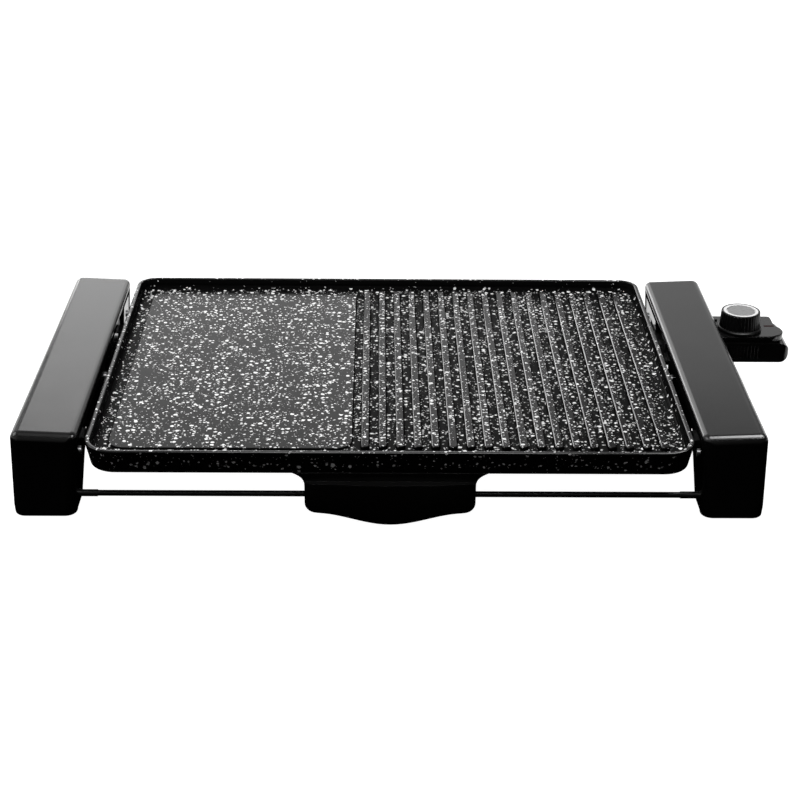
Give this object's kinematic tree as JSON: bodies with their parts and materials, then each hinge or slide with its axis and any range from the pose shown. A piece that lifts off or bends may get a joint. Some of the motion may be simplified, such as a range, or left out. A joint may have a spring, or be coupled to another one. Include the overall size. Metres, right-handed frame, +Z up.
{
  "type": "electric griddle",
  "caption": "Table-top electric griddle: coated cast plate, half flat and half ribbed, between two black stands, with a pull-out grease tray and a plug-in thermostat.",
  "frame": {"origin": "centre of the footprint of the whole object's bounding box, on the table under its feet", "axes": "+X to the right across the griddle, towards the thermostat; +Y to the back, away from the grease tray's pull; +Z up"},
  "size_m": [0.6414, 0.3684, 0.0715],
  "materials": {
    "coating": "black non-stick stone-look coating with white flecks",
    "stand_plastic": "semi-gloss moulded black",
    "housing_plastic": "satin moulded black",
    "knob_plastic": "matt moulded black",
    "pull_plastic": "polished moulded black",
    "rod_enamel": "black enamel",
    "tray_enamel": "dark non-stick enamel",
    "steel": "zinc-plated, fine grain",
    "reflector_sheet": "rolled sheet, satin",
    "tube_steel": "heat-tinted tube",
    "pin_chrome": "bright",
    "cast_alloy": "as cast",
    "brass": "stamped",
    "ceramic": "unglazed",
    "ring_white": "smooth white",
    "cap_brushed": "fine turned lines",
    "lens_red": "tinted translucent",
    "lamp_glass": "clear bulb",
    "foot_rubber": "matt"
  },
  "bodies": {
    "base": {"griddle_plate": "coating", "heating_element": "tube_steel", "element_clamps": "steel", "clamp_screws": "steel", "terminal_pins": "pin_chrome", "terminal_insulators": "ceramic", "probe_block": "cast_alloy", "terminal_guard": "steel", "left_reflector": "reflector_sheet", "right_reflector": "reflector_sheet", "reflector_screws": "steel", "left_stand": "stand_plastic", "right_stand": "stand_plastic", "left_inner_cover": "stand_plastic", "right_inner_cover": "stand_plastic", "cover_screws": "steel", "plate_brackets": "rod_enamel", "bracket_screws": "steel", "feet": "foot_rubber", "front_rod": "rod_enamel", "rear_rod": "rod_enamel", "rod_ferrules": "rod_enamel", "rod_nuts": "steel", "left_tray_rail": "steel", "right_tray_rail": "steel", "rail_screws": "steel"},
    "drip_tray": {"drip_tray": "tray_enamel", "tray_pull": "pull_plastic", "pull_screws": "steel"},
    "thermostat": {"lower_housing": "housing_plastic", "upper_housing": "housing_plastic", "housing_screws": "steel", "contact_sockets": "brass", "sensor_probe": "pin_chrome", "switch_base": "ceramic", "contact_blades": "brass", "terminal_block": "ceramic", "pilot_lens": "lens_red", "pilot_lamp": "lamp_glass", "cord_gland": "housing_plastic"},
    "knob": {"knob": "knob_plastic", "knob_ring": "ring_white", "knob_cap": "cap_brushed", "knob_spindle": "steel", "switch_cam": "brass"}
  },
  "joints": [
    {"name": "tray_slide", "type": "slide", "parent": "base", "child": "drip_tray", "axis": [0, -1, 0], "range_m": [0, 0.235]},
    {"name": "thermostat_unplug", "type": "slide", "parent": "base", "child": "thermostat", "axis": [1, 0, 0], "range_m": [0, 0.135]},
    {"name": "knob_turn", "type": "hinge", "parent": "thermostat", "child": "knob", "pos_m": [0.27824, 0.09875, 0.06], "axis": [0, 0, 1], "range_deg": [-270, 0]}
  ]
}
